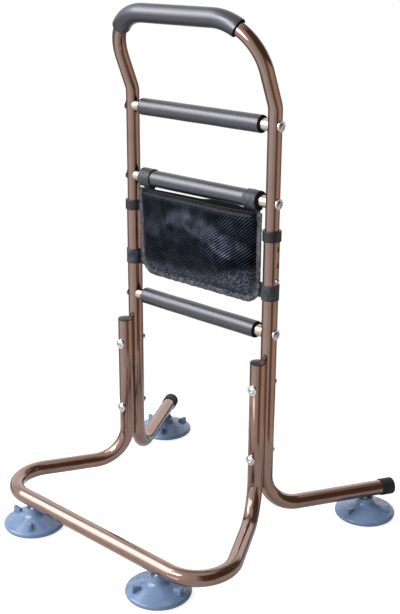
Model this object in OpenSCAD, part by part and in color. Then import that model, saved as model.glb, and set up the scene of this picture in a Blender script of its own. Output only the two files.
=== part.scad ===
// Couch standing aid: a bent-tube frame on four suction cups, with foam grips,
// a height-adjustable handle hoop and a mesh pouch hung between the posts.
// Front is -Y (the seated person's side), up is +Z, the floor is z = 0.

/* [Frame tubes] */
// Distance between the axes of the two posts
post_spacing = 300; // [280:1:330]
// Outside diameter of the posts and the base hoop
lower_tube_d = 25.4; // [24:0.1:27]
// Wall of the posts, the hoops and the crossbars
tube_wall = 1.2; // [1:0.1:1.5]
// Radial play of the hoop legs inside the posts
slide_fit = 0.4; // [0.3:0.05:0.6]

/* [Handle hoop] */
// Height of the lower ends of the hoop legs
leg_bottom_z = 395; // [380:1:405]
// Height at which the legs start to lean towards the front
kink_z = 706; // [700:1:725]
// Bend radius of the kink
kink_r = 30; // [24:1:60]
// Lean of the hoop above the kink, in degrees
hoop_lean = 22.8; // [15:0.1:28]
// Height of the handle axis
handle_z = 831; // [825:1:860]
// Bend radius of the two handle corners
handle_corner_r = 78; // [60:1:90]
// Outside diameter of the handle grip
handle_grip_d = 29.5; // [27:0.5:34]
// Part of the left handle corner that the grip covers, in degrees
handle_grip_left_wrap = 46; // [20:1:80]
// Part of the right handle corner that the grip covers, in degrees
handle_grip_right_wrap = 34; // [20:1:80]

/* [Crossbars] */
// Height of the upper crossbar
upper_bar_z = 678.5; // [665:0.5:685]
// Height of the middle crossbar, which carries the pouch
middle_bar_z = 562; // [555:1:575]
// Height of the lower crossbar
lower_bar_z = 353; // [345:1:360]
// Outside diameter of the crossbars
bar_d = 19; // [17:0.5:20]
// Outside diameter of the crossbar grips
bar_grip_d = 28; // [25:0.5:32]
// Bare stretch between a crossbar grip and the tube beside it
bar_bare = 11; // [6:0.5:16]

/* [Posts and rear legs] */
// Height of the open upper end of the posts
post_top_z = 517; // [510:1:525]
// Bend radius at the foot of the posts
post_bend_r = 60; // [50:1:70]
// Length of a rear leg from the post axis to the tube end
rear_reach = 235; // [220:1:255]
// Outward turn of the rear legs, in degrees
rear_splay = 28.8; // [20:0.1:35]

/* [Base hoop] */
// Height of the open upper end of the uprights
upright_top_z = 309.5; // [300:0.5:320]
// Gap between an upright and the post that it is bolted to
upright_gap = 0.4; // [0.3:0.1:1]
// Bend radius at the foot of the uprights
upright_bend_r = 60; // [50:1:70]
// Distance from the uprights forward to the front rail
front_reach = 222; // [200:1:245]
// Outward turn of the side arms, in degrees
front_splay = 28.8; // [20:0.1:35]
// Bend radius of the two front corners
corner_r = 60; // [50:1:65]

/* [Suction cups] */
// Diameter of a suction cup
cup_d = 102; // [90:1:110]
// Height of a suction cup
cup_h = 31; // [29:0.5:36]
// Diameter of the neck
cup_neck_d = 26; // [24:0.5:30]
// Radius of the rounded edge
cup_edge_r = 4.5; // [4:0.5:6]
// Slope of the flank, in degrees
cup_flank = 20; // [16:0.5:22]
// Radius of the flare between flank and neck
cup_flare_r = 12; // [10:0.5:13]
// Depth of the hollow underside
cup_hollow = 6; // [4:0.5:6.5]
// Width of the ring that stands on the floor
cup_lip_w = 8; // [7:0.5:10]
// Distance between the two front cups
front_cup_spacing = 294; // [270:1:310]
// Distance from a rear tube end back to its cup
rear_cup_inset = 47; // [44:1:58]
// Radial length of a pull tab
tab_l = 14; // [11:0.5:15]
// Width of a pull tab
tab_w = 7; // [6:0.5:10]
// Distance of the pull tabs from the cup axis
tab_r = 36.5; // [35:0.5:38]
// Height of the outer end of the pull tabs
tab_top_z = 22; // [20:0.5:25]
// How much lower the inner end of a pull tab is
tab_fall = 3; // [1:0.5:4]
// Number of pull tabs on a cup
tab_count = 3; // [2:1:4]
// Turn of the pull tabs: front left, front right, rear left, rear right, in degrees
tab_turns = [70, 7, 62, 21]; // [0:1:119]

/* [Height adjustment] */
// Height of the lowest adjustment hole, where the button sits
button_z = 441; // [438:0.5:446]
// Distance between adjustment holes
hole_pitch = 25.4; // [22:0.2:26]
// Number of adjustment holes
hole_count = 3; // [1:1:3]
// Diameter of the snap button
button_d = 7.6; // [6:0.2:9]
// How far the button stands out of the post
button_proud = 3.2; // [2:0.1:4]
// Thickness of the spring leaf
leaf_t = 0.8; // [0.6:0.1:1]
// Width of the spring leaf
leaf_w = 8; // [6:0.5:9]

/* [Collars, plugs and caps] */
// Outside diameter of the post collars
collar_d = 29.5; // [28.5:0.5:32]
// Height of the post collars
collar_h = 17; // [14:0.5:24]
// Part of a collar that stands above the post
collar_lip = 3; // [2:0.5:5]
// Height of the head of an upright plug
plug_head_h = 3.5; // [2.5:0.5:5]
// Length of the plug inside the upright
plug_stem_h = 14; // [10:1:20]
// Length of a rear cap
cap_l = 24; // [20:1:30]
// End wall of a rear cap
cap_end = 4; // [3:0.5:6]
// Side wall of a rear cap
cap_wall = 1.4; // [1.2:0.1:2]

/* [Fasteners] */
// Shank diameter of the bolts and screws
screw_d = 6; // [5:0.5:7]
// Flange diameter of the domed heads
screw_flange_d = 16.8; // [14:0.2:18]
// Dome diameter of the heads
screw_dome_d = 12.4; // [10:0.2:13]
// Height of the heads
screw_head_h = 4.6; // [3.6:0.1:5.5]
// Hexagon socket across its flats
screw_socket = 5; // [3:0.5:6]
// Height of the upper bolt through upright and post
upper_bolt_z = 267; // [255:1:280]
// Height of the lower bolt through upright and post
lower_bolt_z = 145.5; // [138:0.5:165]
// Width across the flats of the cap nuts
nut_af = 10; // [8:0.5:11]
// Shank diameter of the cup studs
stud_d = 8; // [6:0.5:9]

/* [Pouch] */
// Height of the pouch
pouch_h = 146; // [130:1:148]
// Gap between the pouch and the grip above it
pouch_drop = 4; // [3.5:0.5:12]
// How far the belly of the pouch stands forward
pouch_bulge = 26; // [18:1:34]
// Radius of the lower corners
pouch_corner_r = 28; // [20:1:40]
// Thickness of the pouch cloth
cloth_t = 1.5; // [1:0.1:2]
// Width of the edge binding
binding_w = 9; // [6:0.5:12]
// Thickness of the edge binding
binding_t = 1.2; // [0.8:0.1:1.6]
// Width of the four straps
strap_w = 25; // [20:1:28]
// Thickness of the straps
strap_t = 2; // [1.5:0.1:2.2]
// Gap between the pouch and the post straps beside it
pouch_side_gap = 2.5; // [2:0.1:4]
// Height of the middle of the post straps
post_strap_z = 421.5; // [419:0.5:422]

/* [Hidden] */
$fn = 48;

// Clearances: between fixed pieces, round threads, and round soft pieces that slide
seat_fit = 0.1;
thread_fit = 0.1;
soft_fit = 0.3;
// Overrun of every cut past the face that it opens
overrun = 1;

// Colours
bronze = [0.51, 0.39, 0.34];
foam_grey = [0.27, 0.28, 0.31];
champagne = [0.86, 0.82, 0.76];
chrome = [0.85, 0.85, 0.86];
cup_blue = [0.55, 0.62, 0.74];
soft_black = [0.17, 0.17, 0.19];
cloth_black = [0.10, 0.12, 0.15];
binding_grey = [0.24, 0.24, 0.27];

// Collars: part of the wall that the chamfers take off
collar_chamfer_share = 0.17;

// Tubes: a hairline between a bend and the straight stretch beside it, bridged inside the wall
joint_gap = 0.04;
joint_lap = 1;
joint_cover_share = 0.25;
grip_end = 2;
upper_tube_d = lower_tube_d - 2 * (tube_wall + slide_fit);
lower_bore_d = lower_tube_d - 2 * tube_wall;
upper_bore_d = upper_tube_d - 2 * tube_wall;
bar_bore_d = bar_d - 2 * tube_wall;

// Cups: the rivet nut's flange lies between the cup and the tube
rivet_flange_h = 1.3;
rivet_flange_w = 3.5;
rivet_flange_d = stud_d + 2 * rivet_flange_w;
rivet_wall = 1.5;
rivet_l = 12;
base_z = cup_h + rivet_flange_h + lower_tube_d / 2;
cup_r = cup_d / 2;
neck_r = cup_neck_d / 2;
edge_point = [
    cup_r - cup_edge_r + cup_edge_r * sin(cup_flank),
    cup_edge_r + cup_edge_r * cos(cup_flank)
];
flare_foot_r = neck_r + cup_flare_r * (1 - sin(cup_flank));
flare_foot_z = edge_point[1] + (edge_point[0] - flare_foot_r) * tan(cup_flank);
flare_centre = [neck_r + cup_flare_r, flare_foot_z + cup_flare_r * cos(cup_flank)];
hollow_r = cup_r - cup_lip_w;
hollow_ball_r = (hollow_r * hollow_r + cup_hollow * cup_hollow) / (2 * cup_hollow);
stud_head_d = 2 * stud_d;
stud_head_h = stud_d / 2;
stud_depth = 14;
stud_reach = 9;
tab_round = 2;
tab_foot_z = max(cup_edge_r, cup_hollow);

// Plan of the base, with the posts on y = post_y and the box of the part about the origin
upright_offset = lower_tube_d + upright_gap;
rear_cup_run = rear_reach - rear_cup_inset;
front_cup_back = -upright_offset - front_reach;
rear_cup_back = rear_cup_run * cos(rear_splay);
cap_r = lower_tube_d / 2 + seat_fit + cap_wall;
cap_back = rear_reach * cos(rear_splay) + (cap_r - cap_end) * sin(rear_splay) + cap_end;
part_back = max(rear_cup_back + cup_r, cap_back);
part_front = front_cup_back - cup_r;
post_y = -(part_front + part_back) / 2;
upright_y = post_y - upright_offset;
front_y = post_y + front_cup_back;
rear_cup_x = post_spacing / 2 + rear_cup_run * sin(rear_splay);
rear_cup_y = post_y + rear_cup_back;

// Runs between the bends of the two hoops and the posts
kink_tangent = kink_r * tan(hoop_lean / 2);
leg_run = kink_z - kink_tangent - leg_bottom_z;
lean_run = (handle_z - kink_z) / cos(hoop_lean) - kink_tangent - handle_corner_r;
handle_run = post_spacing - 2 * handle_corner_r;
post_run = post_top_z - base_z - post_bend_r;
rear_run = rear_reach - post_bend_r;
corner_turn = 90 + front_splay;
corner_tangent = corner_r * tan(corner_turn / 2);
upright_run = upright_top_z - base_z - upright_bend_r;
arm_run = front_reach / cos(front_splay) - upright_bend_r - corner_tangent;
front_run = post_spacing + 2 * front_reach * tan(front_splay) - 2 * corner_tangent;

// Fasteners
screw_flange_share = 0.4;
screw_socket_share = 0.6;
nut_h_share = 0.4;
nut_cap_d_share = 0.9;
nut_cap_h_share = 0.15;
screw_hole_d = screw_d + 2 * seat_fit;
screw_flange_h = screw_head_h * screw_flange_share;
screw_socket_depth = screw_head_h * screw_socket_share;
hex_round = 1 / cos(30);
nut_h = nut_af * nut_h_share;
nut_cap_d = nut_af * nut_cap_d_share;
nut_cap_h = nut_af * nut_cap_h_share;
insert_recess = 4;
insert_l = 22;
screw_engage = 15;

// Snap buttons and their springs
button_fit = 0.2;
button_hole_d = button_d + 2 * button_fit;
button_flange_w = 1;
button_flange_d = button_d + 2 * button_flange_w;
button_flange_t = 1;
button_dome_share = 0.25;
button_dome_h = button_d * button_dome_share;
leaf_wall_gap = 3.2;
leaf_seat_x = upper_bore_d / 2 - leaf_wall_gap;
leaf_up = 9;
leaf_down = 24;
leaf_bend_r = 3.2;
leaf_back_x = sqrt(upper_bore_d * upper_bore_d - leaf_w * leaf_w) / 2 - seat_fit;

// Pouch
pouch_w = post_spacing - lower_tube_d - 2 * (soft_fit + strap_t + pouch_side_gap);
pouch_top_z = middle_bar_z - bar_grip_d / 2 - pouch_drop;
pouch_bottom_z = pouch_top_z - pouch_h;
pouch_forward = 5;
pouch_y = post_y - pouch_forward;
pouch_rows = 10;
pouch_cols = 14;
pouch_mouth_share = 0.45;
pouch_belly_share = 0.65;
pouch_crown_share = 0.7;
strap_tail = 16;
strap_tail_y = 3 * seat_fit + cloth_t + binding_t - pouch_forward;
strap_end_gap = 2;
bar_strap_x = (post_spacing - upper_tube_d - strap_w) / 2 - bar_bare - strap_end_gap;

// Ring that every tube is drawn from
module ring(d, wall) {
    difference() {
        circle(d = d);
        circle(d = d - 2 * wall);
    }
}

// Moves on along the tube's heading
module past_run(length) {
    translate([0, 0, length]) children();
}

// Moves on round a bend that turns the heading from +Z towards +X
module past_bend(radius, angle) {
    translate([radius * (1 - cos(angle)), 0, radius * sin(angle)])
        rotate([0, angle, 0])
            children();
}

// Straight stretch of tube, then whatever follows it
module run(d, wall, length) {
    linear_extrude(height = length) ring(d, wall);
    past_run(length) children();
}

// Web inside the wall that makes two stretches of tube one piece
module joint_web(d, wall) {
    cover = wall * joint_cover_share;
    translate([0, 0, -joint_lap])
        linear_extrude(height = 2 * joint_lap) ring(d - 2 * cover, wall - 2 * cover);
}

// Bent stretch of tube, joined at both ends, then whatever follows it
module bend(d, wall, radius, angle) {
    short = joint_gap / radius * 180 / PI;
    joint_web(d, wall);
    translate([radius, 0, 0])
        rotate([90, 0, 0])
            rotate([0, 0, 180 - angle + short])
                rotate_extrude(angle = angle - 2 * short)
                    translate([radius, 0]) ring(d, wall);
    past_bend(radius, angle) {
        joint_web(d, wall);
        children();
    }
}

// Cylinder along X, centred on the plane x = 0
module drill_x(d, length) {
    rotate([0, 90, 0]) cylinder(d = d, h = length, center = true);
}

// Cylinder along Y, centred on the plane y = 0
module drill_y(d, length) {
    rotate([90, 0, 0]) cylinder(d = d, h = length, center = true);
}

// Handle hoop: two legs, the kinks, the lean and the handle, as one bent tube
module hoop_start() {
    translate([post_spacing / 2, post_y, leg_bottom_z]) children();
}

module upper_hoop() {
    color(bronze) difference() {
        hoop_start()
            run(upper_tube_d, tube_wall, leg_run)
            rotate([0, 0, -90])
            bend(upper_tube_d, tube_wall, kink_r, hoop_lean)
            run(upper_tube_d, tube_wall, lean_run)
            rotate([0, 0, -90])
            bend(upper_tube_d, tube_wall, handle_corner_r, 90)
            run(upper_tube_d, tube_wall, handle_run)
            bend(upper_tube_d, tube_wall, handle_corner_r, 90)
            rotate([0, 0, 90])
            run(upper_tube_d, tube_wall, lean_run)
            bend(upper_tube_d, tube_wall, kink_r, hoop_lean)
            run(upper_tube_d, tube_wall, leg_run);
        for (z = [upper_bar_z, middle_bar_z])
            translate([0, post_y, z]) drill_x(screw_hole_d, post_spacing + 2 * lower_tube_d);
        for (side = [-1, 1])
            translate([side * (post_spacing + upper_tube_d) / 2, post_y, button_z])
                drill_x(button_hole_d, upper_tube_d);
    }
}

// Foam sleeve over the handle and the upper part of both corners
module handle_grip() {
    grip_wall = (handle_grip_d - upper_tube_d) / 2 - seat_fit;
    color(foam_grey)
        hoop_start()
        past_run(leg_run)
        rotate([0, 0, -90])
        past_bend(kink_r, hoop_lean)
        past_run(lean_run)
        rotate([0, 0, -90])
        past_bend(handle_corner_r, 90 - handle_grip_right_wrap)
        past_run(-grip_end)
        run(handle_grip_d, grip_wall, grip_end)
        bend(handle_grip_d, grip_wall, handle_corner_r, handle_grip_right_wrap)
        run(handle_grip_d, grip_wall, handle_run)
        bend(handle_grip_d, grip_wall, handle_corner_r, handle_grip_left_wrap)
        run(handle_grip_d, grip_wall, grip_end);
}

// Crossbar tube, its ends hollowed to sit on the round tubes beside it
module crossbar(z, side_d) {
    color(champagne) difference() {
        translate([-post_spacing / 2, post_y, z])
            rotate([0, 90, 0])
                linear_extrude(height = post_spacing) ring(bar_d, tube_wall);
        for (side = [-1, 1])
            translate([side * post_spacing / 2, post_y, z - bar_d])
                cylinder(d = side_d + 2 * seat_fit, h = 2 * bar_d);
    }
}

// Foam sleeve on a crossbar
module crossbar_grip(z, side_d) {
    grip_l = post_spacing - side_d - 2 * bar_bare;
    color(foam_grey)
        translate([-grip_l / 2, post_y, z])
            rotate([0, 90, 0])
                linear_extrude(height = grip_l) ring(bar_grip_d, (bar_grip_d - bar_d) / 2 - seat_fit);
}

// Threaded plugs in both ends of a crossbar
module crossbar_inserts(z, side_d) {
    outer_x = (post_spacing - side_d) / 2 - insert_recess;
    color(chrome)
        for (side = [-1, 1])
            translate([side * (outer_x - insert_l / 2), post_y, z])
                difference() {
                    drill_x(bar_bore_d - 2 * seat_fit, insert_l);
                    drill_x(screw_d + 2 * thread_fit, insert_l + 2 * overrun);
                }
}

// Domed, flanged screw along -Z, its seat at z = 0
module dome_screw(shank) {
    dome_h = screw_head_h - screw_flange_h;
    dome_ball_r = (dome_h * dome_h + screw_dome_d * screw_dome_d / 4) / (2 * dome_h);
    difference() {
        union() {
            cylinder(d = screw_flange_d, h = screw_flange_h);
            rotate_extrude()
                intersection() {
                    translate([0, screw_head_h - dome_ball_r]) circle(r = dome_ball_r);
                    square([screw_dome_d / 2, screw_head_h]);
                }
            translate([0, 0, -shank]) cylinder(d = screw_d, h = shank + screw_flange_h);
        }
        translate([0, 0, screw_head_h - screw_socket_depth])
            cylinder(d = screw_socket * hex_round, h = screw_head_h, $fn = 6);
    }
}

// Screws through the tubes beside a crossbar into its threaded plugs
module crossbar_screws(z, side_d) {
    color(chrome)
        for (side = [-1, 1])
            translate([side * (post_spacing + side_d) / 2, post_y, z])
                rotate([0, side * 90, 0])
                    dome_screw(side_d + insert_recess + screw_engage);
}

// Right post and its rear leg as one bent tube, with all its holes
module post_tube() {
    difference() {
        translate([post_spacing / 2, post_y, post_top_z])
            rotate([180, 0, 0])
            rotate([0, 0, rear_splay - 90])
            run(lower_tube_d, tube_wall, post_run)
            bend(lower_tube_d, tube_wall, post_bend_r, 90)
            run(lower_tube_d, tube_wall, rear_run);
        translate([post_spacing / 2, post_y, lower_bar_z]) drill_x(screw_hole_d, 2 * lower_tube_d);
        for (i = [0 : hole_count - 1])
            translate([(post_spacing + lower_tube_d) / 2, post_y, button_z + i * hole_pitch])
                drill_x(button_hole_d, lower_tube_d);
        for (z = [upper_bolt_z, lower_bolt_z])
            translate([post_spacing / 2, post_y, z]) drill_y(screw_hole_d, 2 * lower_tube_d);
        translate([rear_cup_x, rear_cup_y, base_z - lower_tube_d]) rivet_hole();
    }
}

module right_post() {
    color(bronze) post_tube();
}

module left_post() {
    color(bronze) mirror([1, 0, 0]) post_tube();
}

// Hole for a rivet nut in the underside of a base tube
module rivet_hole() {
    cylinder(d = stud_d + 2 * rivet_wall + 2 * seat_fit, h = lower_tube_d);
}

// Collar pressed on a post, with a lip that guides the hoop leg
module collar(side) {
    chamfer = (collar_d - lower_tube_d) * collar_chamfer_share;
    color(soft_black)
        translate([side * post_spacing / 2, post_y, post_top_z + collar_lip - collar_h])
            rotate_extrude()
                difference() {
                    polygon([
                        [0, 0],
                        [collar_d / 2 - chamfer, 0],
                        [collar_d / 2, chamfer],
                        [collar_d / 2, collar_h - chamfer],
                        [collar_d / 2 - chamfer, collar_h],
                        [0, collar_h]
                    ]);
                    translate([0, -overrun])
                        square([lower_tube_d / 2 + seat_fit, collar_h - collar_lip + overrun]);
                    translate([0, -overrun])
                        square([upper_tube_d / 2 + slide_fit, collar_h + 2 * overrun]);
                }
}

// Base hoop: both uprights, side arms and the front rail as one bent tube
module base_hoop() {
    color(bronze) difference() {
        translate([post_spacing / 2, upright_y, upright_top_z])
            rotate([180, 0, 0])
            rotate([0, 0, 90 - front_splay])
            run(lower_tube_d, tube_wall, upright_run)
            bend(lower_tube_d, tube_wall, upright_bend_r, 90)
            run(lower_tube_d, tube_wall, arm_run)
            rotate([0, 0, 90])
            bend(lower_tube_d, tube_wall, corner_r, corner_turn)
            run(lower_tube_d, tube_wall, front_run)
            bend(lower_tube_d, tube_wall, corner_r, corner_turn)
            rotate([0, 0, -90])
            run(lower_tube_d, tube_wall, arm_run)
            bend(lower_tube_d, tube_wall, upright_bend_r, 90)
            run(lower_tube_d, tube_wall, upright_run);
        for (side = [-1, 1]) {
            for (z = [upper_bolt_z, lower_bolt_z])
                translate([side * post_spacing / 2, upright_y, z])
                    drill_y(screw_hole_d, lower_tube_d + 2 * overrun);
            translate([side * front_cup_spacing / 2, front_y, base_z - lower_tube_d]) rivet_hole();
        }
    }
}

// Plug in the open top of an upright, with a domed head
module upright_plug(side) {
    head_ball_r = (plug_head_h * plug_head_h + lower_tube_d * lower_tube_d / 4) / plug_head_h;
    color(soft_black)
        translate([side * post_spacing / 2, upright_y, upright_top_z])
            rotate_extrude() {
                intersection() {
                    translate([0, plug_head_h - head_ball_r]) circle(r = head_ball_r);
                    square([lower_tube_d / 2, plug_head_h]);
                }
                translate([0, -plug_stem_h])
                    square([lower_bore_d / 2 - seat_fit, plug_stem_h + plug_head_h / 2]);
            }
}

// Rubber cap on the end of a rear leg, its outer edge rounded
module rear_cap(side) {
    color(soft_black)
        translate([side * post_spacing / 2, post_y, base_z])
            rotate([0, 0, -side * rear_splay])
                rotate([-90, 0, 0])
                    translate([0, 0, rear_reach + cap_end - cap_l])
                        rotate_extrude()
                            difference() {
                                union() {
                                    square([cap_r, cap_l - cap_end]);
                                    square([cap_r - cap_end, cap_l]);
                                    translate([cap_r - cap_end, cap_l - cap_end]) circle(r = cap_end);
                                }
                                translate([0, -overrun])
                                    square([lower_tube_d / 2 + seat_fit, cap_l - cap_end + overrun]);
                            }
}

// Half section of a stud moulded into a cup, drawn with a margin all round
module stud_section(margin) {
    square([stud_d / 2 + margin, stud_depth + rivet_flange_h + stud_reach]);
    translate([0, -margin]) square([stud_head_d / 2 + margin, stud_head_h + 2 * margin]);
}

// Half section of a cup: rounded edge, sloping flank, flared neck, hollow underside
module cup_section() {
    difference() {
        union() {
            translate([cup_r - cup_edge_r, cup_edge_r]) circle(r = cup_edge_r);
            polygon([
                [0, 0],
                [cup_r - cup_edge_r, 0],
                [cup_r - cup_edge_r, cup_edge_r],
                edge_point,
                [flare_foot_r, flare_foot_z],
                [flare_foot_r, cup_h],
                [0, cup_h]
            ]);
        }
        translate(flare_centre) circle(r = cup_flare_r);
        translate([neck_r, flare_centre[1]]) square([cup_flare_r, cup_h]);
        translate([0, cup_hollow - hollow_ball_r]) circle(r = hollow_ball_r);
        translate([0, cup_h - stud_depth]) stud_section(seat_fit);
    }
}

// Outline of a pull tab in the plane through the cup axis: a wedge that rises outwards, its corner taken off
module tab_outline() {
    tab_h = tab_top_z - tab_foot_z;
    translate([tab_r - tab_l / 2, tab_foot_z])
        polygon([
            [0, 0],
            [tab_l, 0],
            [tab_l, tab_h - tab_round],
            [tab_l - tab_round, tab_h],
            [0, tab_h - tab_fall]
        ]);
}

// Suction cup with its pull tabs
module suction_cup(x, y, turn) {
    color(cup_blue)
        translate([x, y, 0])
            rotate([0, 0, turn]) {
                rotate_extrude() cup_section();
                for (tab = [0 : tab_count - 1])
                    rotate([0, 0, tab * 360 / tab_count])
                        translate([0, tab_w / 2, 0])
                            rotate([90, 0, 0])
                                linear_extrude(height = tab_w) tab_outline();
            }
}

// Places a piece at each of the four cups, on the plane where cup and rivet nut meet
module at_cups() {
    for (side = [-1, 1]) {
        translate([side * front_cup_spacing / 2, front_y, cup_h]) children();
        translate([side * rear_cup_x, rear_cup_y, cup_h]) children();
    }
}

module cup_studs() {
    color(chrome) at_cups()
        translate([0, 0, -stud_depth])
            rotate_extrude() stud_section(0);
}

module cup_rivet_nuts() {
    color(chrome) at_cups()
        difference() {
            union() {
                cylinder(d = rivet_flange_d, h = rivet_flange_h);
                cylinder(d = stud_d + 2 * rivet_wall, h = rivet_flange_h + rivet_l);
            }
            translate([0, 0, -overrun])
                cylinder(d = stud_d + 2 * thread_fit, h = rivet_flange_h + rivet_l + 2 * overrun);
        }
}

// Places a piece at each of the four bolts that join uprights and posts
module at_bolts() {
    for (side = [-1, 1])
        for (z = [upper_bolt_z, lower_bolt_z])
            translate([side * post_spacing / 2, 0, z]) children();
}

module base_bolts() {
    color(chrome) at_bolts()
        translate([0, upright_y - lower_tube_d / 2, 0])
            rotate([90, 0, 0])
                dome_screw(upright_offset + lower_tube_d + nut_h);
}

// Cap nuts: a hexagon with a low dome over the bolt's end
module base_nuts() {
    color(chrome) at_bolts()
        translate([0, post_y + lower_tube_d / 2, 0])
            rotate([-90, 0, 0])
                difference() {
                    union() {
                        cylinder(d = nut_af * hex_round, h = nut_h, $fn = 6);
                        cylinder(d = nut_cap_d, h = nut_h + nut_cap_h);
                    }
                    translate([0, 0, -overrun])
                        cylinder(d = screw_d + 2 * thread_fit, h = nut_h + overrun + seat_fit);
                }
}

// Snap button: a domed pin with a flange that lies on the spring leaf
module snap_button(side) {
    reach = lower_tube_d / 2 + button_proud - leaf_seat_x;
    dome_ball_r = (button_dome_h * button_dome_h + button_d * button_d / 4) / (2 * button_dome_h);
    color(chrome)
        translate([side * post_spacing / 2, post_y, button_z])
            rotate([0, side * 90, 0])
                translate([0, 0, leaf_seat_x])
                    rotate_extrude() {
                        square([button_flange_d / 2, button_flange_t]);
                        square([button_d / 2, reach - button_dome_h]);
                        intersection() {
                            translate([0, reach - dome_ball_r]) circle(r = dome_ball_r);
                            square([button_d / 2, reach]);
                        }
                    }
}

// Spring leaf, bent into a V: one arm carries the button, the other bears on the far wall
module snap_spring(side) {
    front_arm = leaf_up + leaf_down;
    lean_back = asin((leaf_seat_x + leaf_back_x - 2 * leaf_bend_r) / front_arm);
    color(chrome)
        translate([side * post_spacing / 2, post_y, button_z])
            rotate([90, 0, 0])
                translate([0, 0, -leaf_w / 2])
                    linear_extrude(height = leaf_w)
                        mirror([side < 0 ? 1 : 0, 0]) {
                            translate([leaf_seat_x - leaf_t, -leaf_down]) square([leaf_t, front_arm]);
                            translate([leaf_seat_x - leaf_bend_r, -leaf_down]) {
                                difference() {
                                    circle(r = leaf_bend_r);
                                    circle(r = leaf_bend_r - leaf_t);
                                    for (turn = [0, lean_back])
                                        rotate(turn) translate([-leaf_bend_r, 0]) square(2 * leaf_bend_r);
                                }
                                rotate(lean_back)
                                    translate([-leaf_bend_r, 0])
                                        square([leaf_t, front_arm]);
                            }
                        }
}

// Outline of the pouch: square top, rounded lower corners, grown all round but at the top
module pouch_outline(grow) {
    translate([-pouch_w / 2 - grow, pouch_corner_r])
        square([pouch_w + 2 * grow, pouch_h - pouch_corner_r]);
    translate([pouch_corner_r - pouch_w / 2, -grow])
        square([pouch_w - 2 * pouch_corner_r, pouch_h + grow]);
    for (side = [-1, 1])
        translate([side * (pouch_w / 2 - pouch_corner_r), pouch_corner_r])
            circle(r = pouch_corner_r + grow);
}

// Stands an outline up in the plane of the pouch, from one depth behind the seam to another
module pouch_sheet(from, to) {
    translate([0, pouch_y + to, pouch_bottom_z])
        rotate([90, 0, 0])
            linear_extrude(height = to - from) children();
}

module pouch_back() {
    color(cloth_black) pouch_sheet(seat_fit, seat_fit + cloth_t) pouch_outline(0);
}

// Half width of the pouch at a height above its lower edge
function pouch_half(z) =
    z >= pouch_corner_r ? pouch_w / 2 :
    pouch_w / 2 - pouch_corner_r + sqrt(pow(pouch_corner_r, 2) - pow(pouch_corner_r - z, 2));

// Swell of the front panel, from 0 at the bound edge to 1 at the belly
function pouch_swell(t) =
    (1 - pouch_mouth_share) * sin(180 * pow(t, pouch_belly_share)) + pouch_mouth_share * t;

// Point of the front panel: a flat border under the binding, bulging inside it
function pouch_point(row, col) =
    let (
        t = max(row - 1, 0) / (pouch_rows - 1),
        z = row == 0 ? 0 : binding_w + t * (pouch_h - binding_w),
        half = pouch_half(z),
        u = 2 * (col - 1) / (pouch_cols - 2) - 1,
        x = col == 0 ? -half : col == pouch_cols ? half : u * (half - binding_w),
        crown = abs(u) < 1 ? pow(1 - u * u, pouch_crown_share) : 0
    )
    [x, -pouch_bulge * crown * pouch_swell(t), z];

// Front panel of the pouch: one sheet, open at the top, sagging into a belly
module pouch_front() {
    side = pouch_cols;
    rim = pouch_rows;
    across = pouch_cols + 1;
    count = across * (pouch_rows + 1);
    back = [for (row = [0 : pouch_rows], col = [0 : pouch_cols]) pouch_point(row, col)];
    front = [for (p = back) p - [0, cloth_t, 0]];
    function at(layer, row, col) = layer * count + row * across + col;
    function pair(a, b, c, d) = [[a, b, c], [a, c, d]];
    quads = [
        for (row = [0 : pouch_rows - 1], col = [0 : pouch_cols - 1]) each [
            [at(0, row, col), at(0, row, col + 1), at(0, row + 1, col + 1), at(0, row + 1, col)],
            [at(1, row, col), at(1, row + 1, col), at(1, row + 1, col + 1), at(1, row, col + 1)]
        ],
        for (row = [0 : pouch_rows - 1]) each [
            [at(0, row, 0), at(0, row + 1, 0), at(1, row + 1, 0), at(1, row, 0)],
            [at(1, row, side), at(1, row + 1, side), at(0, row + 1, side), at(0, row, side)]
        ],
        for (col = [0 : pouch_cols - 1]) each [
            [at(0, 0, col), at(1, 0, col), at(1, 0, col + 1), at(0, 0, col + 1)],
            [at(1, rim, col), at(0, rim, col), at(0, rim, col + 1), at(1, rim, col + 1)]
        ]
    ];
    color(cloth_black)
        translate([0, pouch_y, pouch_bottom_z])
            polyhedron(
                points = concat(back, front),
                faces = [for (q = quads) each pair(q[0], q[1], q[2], q[3])]
            );
}

// Binding folded round the sides and the bottom of both panels
module pouch_binding() {
    inset = binding_w - seat_fit;
    front_face = -cloth_t - seat_fit;
    back_face = 2 * seat_fit + cloth_t;
    color(binding_grey) difference() {
        pouch_sheet(front_face - binding_t, back_face + binding_t) pouch_outline(binding_t + seat_fit);
        pouch_sheet(front_face, back_face) pouch_outline(seat_fit);
        pouch_sheet(front_face - 2 * binding_t, back_face + 2 * binding_t)
            translate([0, inset]) pouch_window(inset);
    }
}

// Opening inside the binding, run out past the top edge
module pouch_window(inset) {
    inner_r = max(pouch_corner_r - inset, overrun);
    inner_w = pouch_w - 2 * inset;
    translate([-inner_w / 2, inner_r]) square([inner_w, pouch_h]);
    translate([inner_r - inner_w / 2, 0]) square([inner_w - 2 * inner_r, pouch_h]);
    for (side = [-1, 1])
        translate([side * (inner_w / 2 - inner_r), inner_r]) circle(r = inner_r);
}

// Strap over the middle crossbar's grip: a closed loop, its tail sewn to the back of the pouch
module bar_strap(side) {
    loop_r = bar_grip_d / 2 + soft_fit;
    color(soft_black)
        translate([side * bar_strap_x - strap_w / 2, post_y, middle_bar_z])
            rotate([90, 0, 90])
                linear_extrude(height = strap_w) {
                    ring(2 * (loop_r + strap_t), strap_t);
                    translate([strap_tail_y, -bar_grip_d / 2 - pouch_drop - strap_tail])
                        square([strap_t, strap_tail + pouch_drop - strap_t]);
                }
}

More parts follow.
